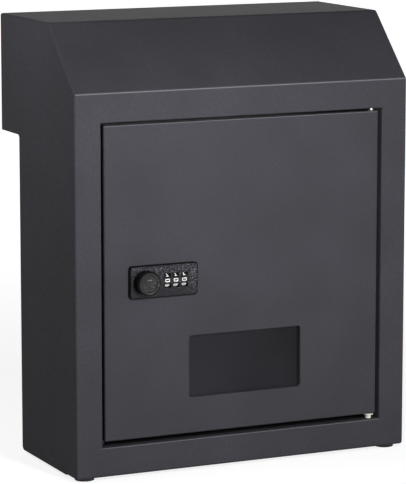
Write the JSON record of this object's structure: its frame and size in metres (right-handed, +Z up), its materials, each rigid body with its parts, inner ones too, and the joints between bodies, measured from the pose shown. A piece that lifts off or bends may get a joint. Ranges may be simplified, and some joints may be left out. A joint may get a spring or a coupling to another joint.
{
  "type": "through-wall drop box",
  "caption": "Sheet-steel drop box with a sloped hood, a rear collar with a deposit mouth, and a hinged door with a combination lock, a knob and a window.",
  "frame": {"origin": "centre of the assembly's bounding box, on the surface that its feet stand on", "axes": "+Z up, +Y from the front door towards the wall side (back), +X to the right seen from the front"},
  "size_m": [0.34, 0.1926, 0.417],
  "materials": {
    "powder_coat": "fine-textured matte black-grey powder coat",
    "lock_black": "satin black die-cast zinc",
    "zinc_steel": "zinc-plated",
    "white_nylon": "matte natural nylon",
    "black_rubber": "matte",
    "smoked_acrylic": "dark smoked, satin",
    "dial_plastic": "black with plain white numerals"
  },
  "bodies": {
    "cabinet": {"front_panel": "powder_coat", "side_panel_left": "powder_coat", "side_panel_right": "powder_coat", "back_panel": "powder_coat", "bottom_panel": "powder_coat", "mouth_frame": "powder_coat", "chute_plate": "powder_coat", "baffle": "powder_coat", "foot_front_left": "black_rubber", "foot_front_right": "black_rubber", "foot_rear_left": "black_rubber", "foot_rear_right": "black_rubber", "hinge_pin_lower": "zinc_steel", "hinge_pin_upper": "zinc_steel", "hinge_washer": "white_nylon", "bumper_lower": "black_rubber", "bumper_upper": "black_rubber"},
    "door": {"door_skin": "powder_coat", "hinge_bush_lower": "white_nylon", "hinge_bush_upper": "white_nylon", "window_pane": "smoked_acrylic", "window_retainer": "powder_coat", "window_studs": "zinc_steel", "window_nuts": "zinc_steel", "lock_housing": "lock_black", "lock_clip": "zinc_steel", "lock_back_plate": "zinc_steel", "lock_screws": "zinc_steel", "dial_axle": "zinc_steel", "detent_spring": "zinc_steel"},
    "latch": {"knob": "lock_black", "knob_spindle": "zinc_steel", "cam": "zinc_steel", "cam_washer": "zinc_steel", "cam_screw": "zinc_steel"},
    "dial_1": {"dial_1": "dial_plastic"},
    "dial_2": {"dial_2": "dial_plastic"},
    "dial_3": {"dial_3": "dial_plastic"},
    "code_lever": {"code_lever": "zinc_steel"}
  },
  "joints": [
    {"name": "door_swing", "type": "hinge", "parent": "cabinet", "child": "door", "pos_m": [0.1353, -0.07715, 0.1819], "axis": [0, 0, 1], "range_deg": [0, 105]},
    {"name": "knob_turn", "type": "hinge", "parent": "door", "child": "latch", "pos_m": [-0.1018, -0.08635, 0.1826], "axis": [0, 1, 0], "range_deg": [0, 90]},
    {"name": "dial_1_spin", "type": "hinge", "parent": "door", "child": "dial_1", "pos_m": [-0.0796, -0.07847, 0.1826], "axis": [1, 0, 0], "continuous": true},
    {"name": "dial_2_spin", "type": "hinge", "parent": "door", "child": "dial_2", "pos_m": [-0.07115, -0.07847, 0.1826], "axis": [1, 0, 0], "continuous": true},
    {"name": "dial_3_spin", "type": "hinge", "parent": "door", "child": "dial_3", "pos_m": [-0.0627, -0.07847, 0.1826], "axis": [1, 0, 0], "continuous": true},
    {"name": "code_lever_turn", "type": "hinge", "parent": "door", "child": "code_lever", "pos_m": [-0.08985, -0.06837, 0.1826], "axis": [0, -1, 0], "range_deg": [0, 90]}
  ]
}
